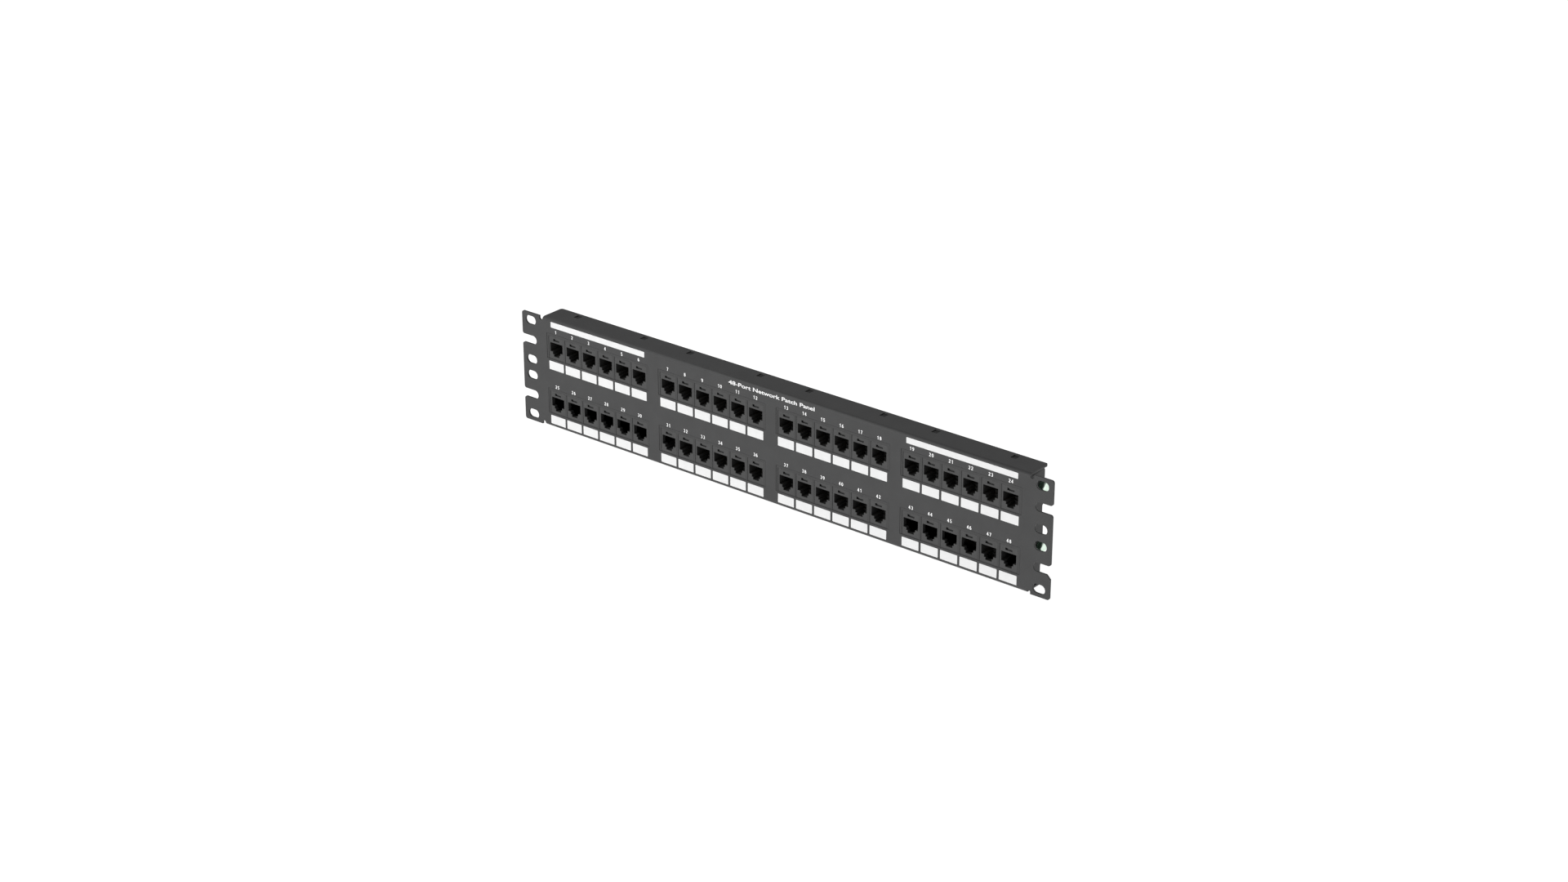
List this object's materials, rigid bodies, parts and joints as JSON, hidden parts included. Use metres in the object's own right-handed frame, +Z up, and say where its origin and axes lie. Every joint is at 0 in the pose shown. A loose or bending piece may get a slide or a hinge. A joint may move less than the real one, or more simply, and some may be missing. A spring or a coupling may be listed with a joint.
{
  "type": "patch panel",
  "caption": "Rack-mounted patch panel with two rows of modular jack sockets, snap-in jack modules, label strips and rear punch-down wire terminals.",
  "frame": {"origin": "centre of the panel's front face, midway between the rack holes", "axes": "+X to the viewer's right along the panel, +Y into the rack, away from the viewer, +Z up"},
  "size_m": [0.4826, 0.0317, 0.0882],
  "materials": {
    "panel_coat": "fine-textured black powder coat on sheet steel",
    "module_plastic": "moulded black thermoplastic, light grain",
    "jack_plastic": "moulded black thermoplastic, light grain",
    "terminal_plastic": "moulded black thermoplastic, satin",
    "board_laminate": "green solder mask over glass laminate",
    "contact_gold": "gold-plated phosphor bronze",
    "terminal_tin": "tin-plated bronze",
    "zinc_steel": "zinc-plated steel",
    "screw_black": "black oxide steel",
    "ground_green": "green dyed zinc plating on steel",
    "label_paper": "white matt label stock",
    "wiring_label_print": "white label printed with the wiring colours"
  },
  "bodies": {
    "panel": {"front_panel": "panel_coat", "left_end_bracket": "panel_coat", "right_end_bracket": "panel_coat", "ground_screws": "ground_green", "ground_nuts": "zinc_steel", "upper_port_labels": "label_paper", "lower_port_labels": "label_paper", "left_panel_label": "label_paper", "right_panel_label": "label_paper", "wiring_code_labels": "wiring_label_print", "board_screws": "screw_black", "upper_contact_leads": "contact_gold", "lower_contact_leads": "contact_gold", "upper_terminal_contacts": "terminal_tin", "lower_terminal_contacts": "terminal_tin", "module_1_carrier": "module_plastic", "module_1_jacks": "jack_plastic", "module_1_circuit_board": "board_laminate", "module_1_terminal_blocks": "terminal_plastic", "module_2_carrier": "module_plastic", "module_2_jacks": "jack_plastic", "module_2_circuit_board": "board_laminate", "module_2_terminal_blocks": "terminal_plastic", "module_3_carrier": "module_plastic", "module_3_jacks": "jack_plastic", "module_3_circuit_board": "board_laminate", "module_3_terminal_blocks": "terminal_plastic", "module_4_carrier": "module_plastic", "module_4_jacks": "jack_plastic", "module_4_circuit_board": "board_laminate", "module_4_terminal_blocks": "terminal_plastic", "module_5_carrier": "module_plastic", "module_5_jacks": "jack_plastic", "module_5_circuit_board": "board_laminate", "module_5_terminal_blocks": "terminal_plastic", "module_6_carrier": "module_plastic", "module_6_jacks": "jack_plastic", "module_6_circuit_board": "board_laminate", "module_6_terminal_blocks": "terminal_plastic", "module_7_carrier": "module_plastic", "module_7_jacks": "jack_plastic", "module_7_circuit_board": "board_laminate", "module_7_terminal_blocks": "terminal_plastic", "module_8_carrier": "module_plastic", "module_8_jacks": "jack_plastic", "module_8_circuit_board": "board_laminate", "module_8_terminal_blocks": "terminal_plastic"},
    "module_1_contacts": {"module_1_contact_springs": "contact_gold"},
    "module_2_contacts": {"module_2_contact_springs": "contact_gold"},
    "module_3_contacts": {"module_3_contact_springs": "contact_gold"},
    "module_4_contacts": {"module_4_contact_springs": "contact_gold"},
    "module_5_contacts": {"module_5_contact_springs": "contact_gold"},
    "module_6_contacts": {"module_6_contact_springs": "contact_gold"},
    "module_7_contacts": {"module_7_contact_springs": "contact_gold"},
    "module_8_contacts": {"module_8_contact_springs": "contact_gold"}
  },
  "joints": [
    {"name": "module_1_contact_flex", "type": "hinge", "parent": "panel", "child": "module_1_contacts", "pos_m": [-0.1659, 0.0029, 0.0253], "axis": [1, 0, 0], "range_deg": [0, 11], "stiffness_Nm_per_rad": 1.5},
    {"name": "module_2_contact_flex", "type": "hinge", "parent": "panel", "child": "module_2_contacts", "pos_m": [-0.0553, 0.0029, 0.0253], "axis": [1, 0, 0], "range_deg": [0, 11], "stiffness_Nm_per_rad": 1.5},
    {"name": "module_3_contact_flex", "type": "hinge", "parent": "panel", "child": "module_3_contacts", "pos_m": [0.0553, 0.0029, 0.0253], "axis": [1, 0, 0], "range_deg": [0, 11], "stiffness_Nm_per_rad": 1.5},
    {"name": "module_4_contact_flex", "type": "hinge", "parent": "panel", "child": "module_4_contacts", "pos_m": [0.1659, 0.0029, 0.0253], "axis": [1, 0, 0], "range_deg": [0, 11], "stiffness_Nm_per_rad": 1.5},
    {"name": "module_5_contact_flex", "type": "hinge", "parent": "panel", "child": "module_5_contacts", "pos_m": [-0.1659, 0.0029, -0.01915], "axis": [1, 0, 0], "range_deg": [0, 11], "stiffness_Nm_per_rad": 1.5},
    {"name": "module_6_contact_flex", "type": "hinge", "parent": "panel", "child": "module_6_contacts", "pos_m": [-0.0553, 0.0029, -0.01915], "axis": [1, 0, 0], "range_deg": [0, 11], "stiffness_Nm_per_rad": 1.5},
    {"name": "module_7_contact_flex", "type": "hinge", "parent": "panel", "child": "module_7_contacts", "pos_m": [0.0553, 0.0029, -0.01915], "axis": [1, 0, 0], "range_deg": [0, 11], "stiffness_Nm_per_rad": 1.5},
    {"name": "module_8_contact_flex", "type": "hinge", "parent": "panel", "child": "module_8_contacts", "pos_m": [0.1659, 0.0029, -0.01915], "axis": [1, 0, 0], "range_deg": [0, 11], "stiffness_Nm_per_rad": 1.5}
  ]
}
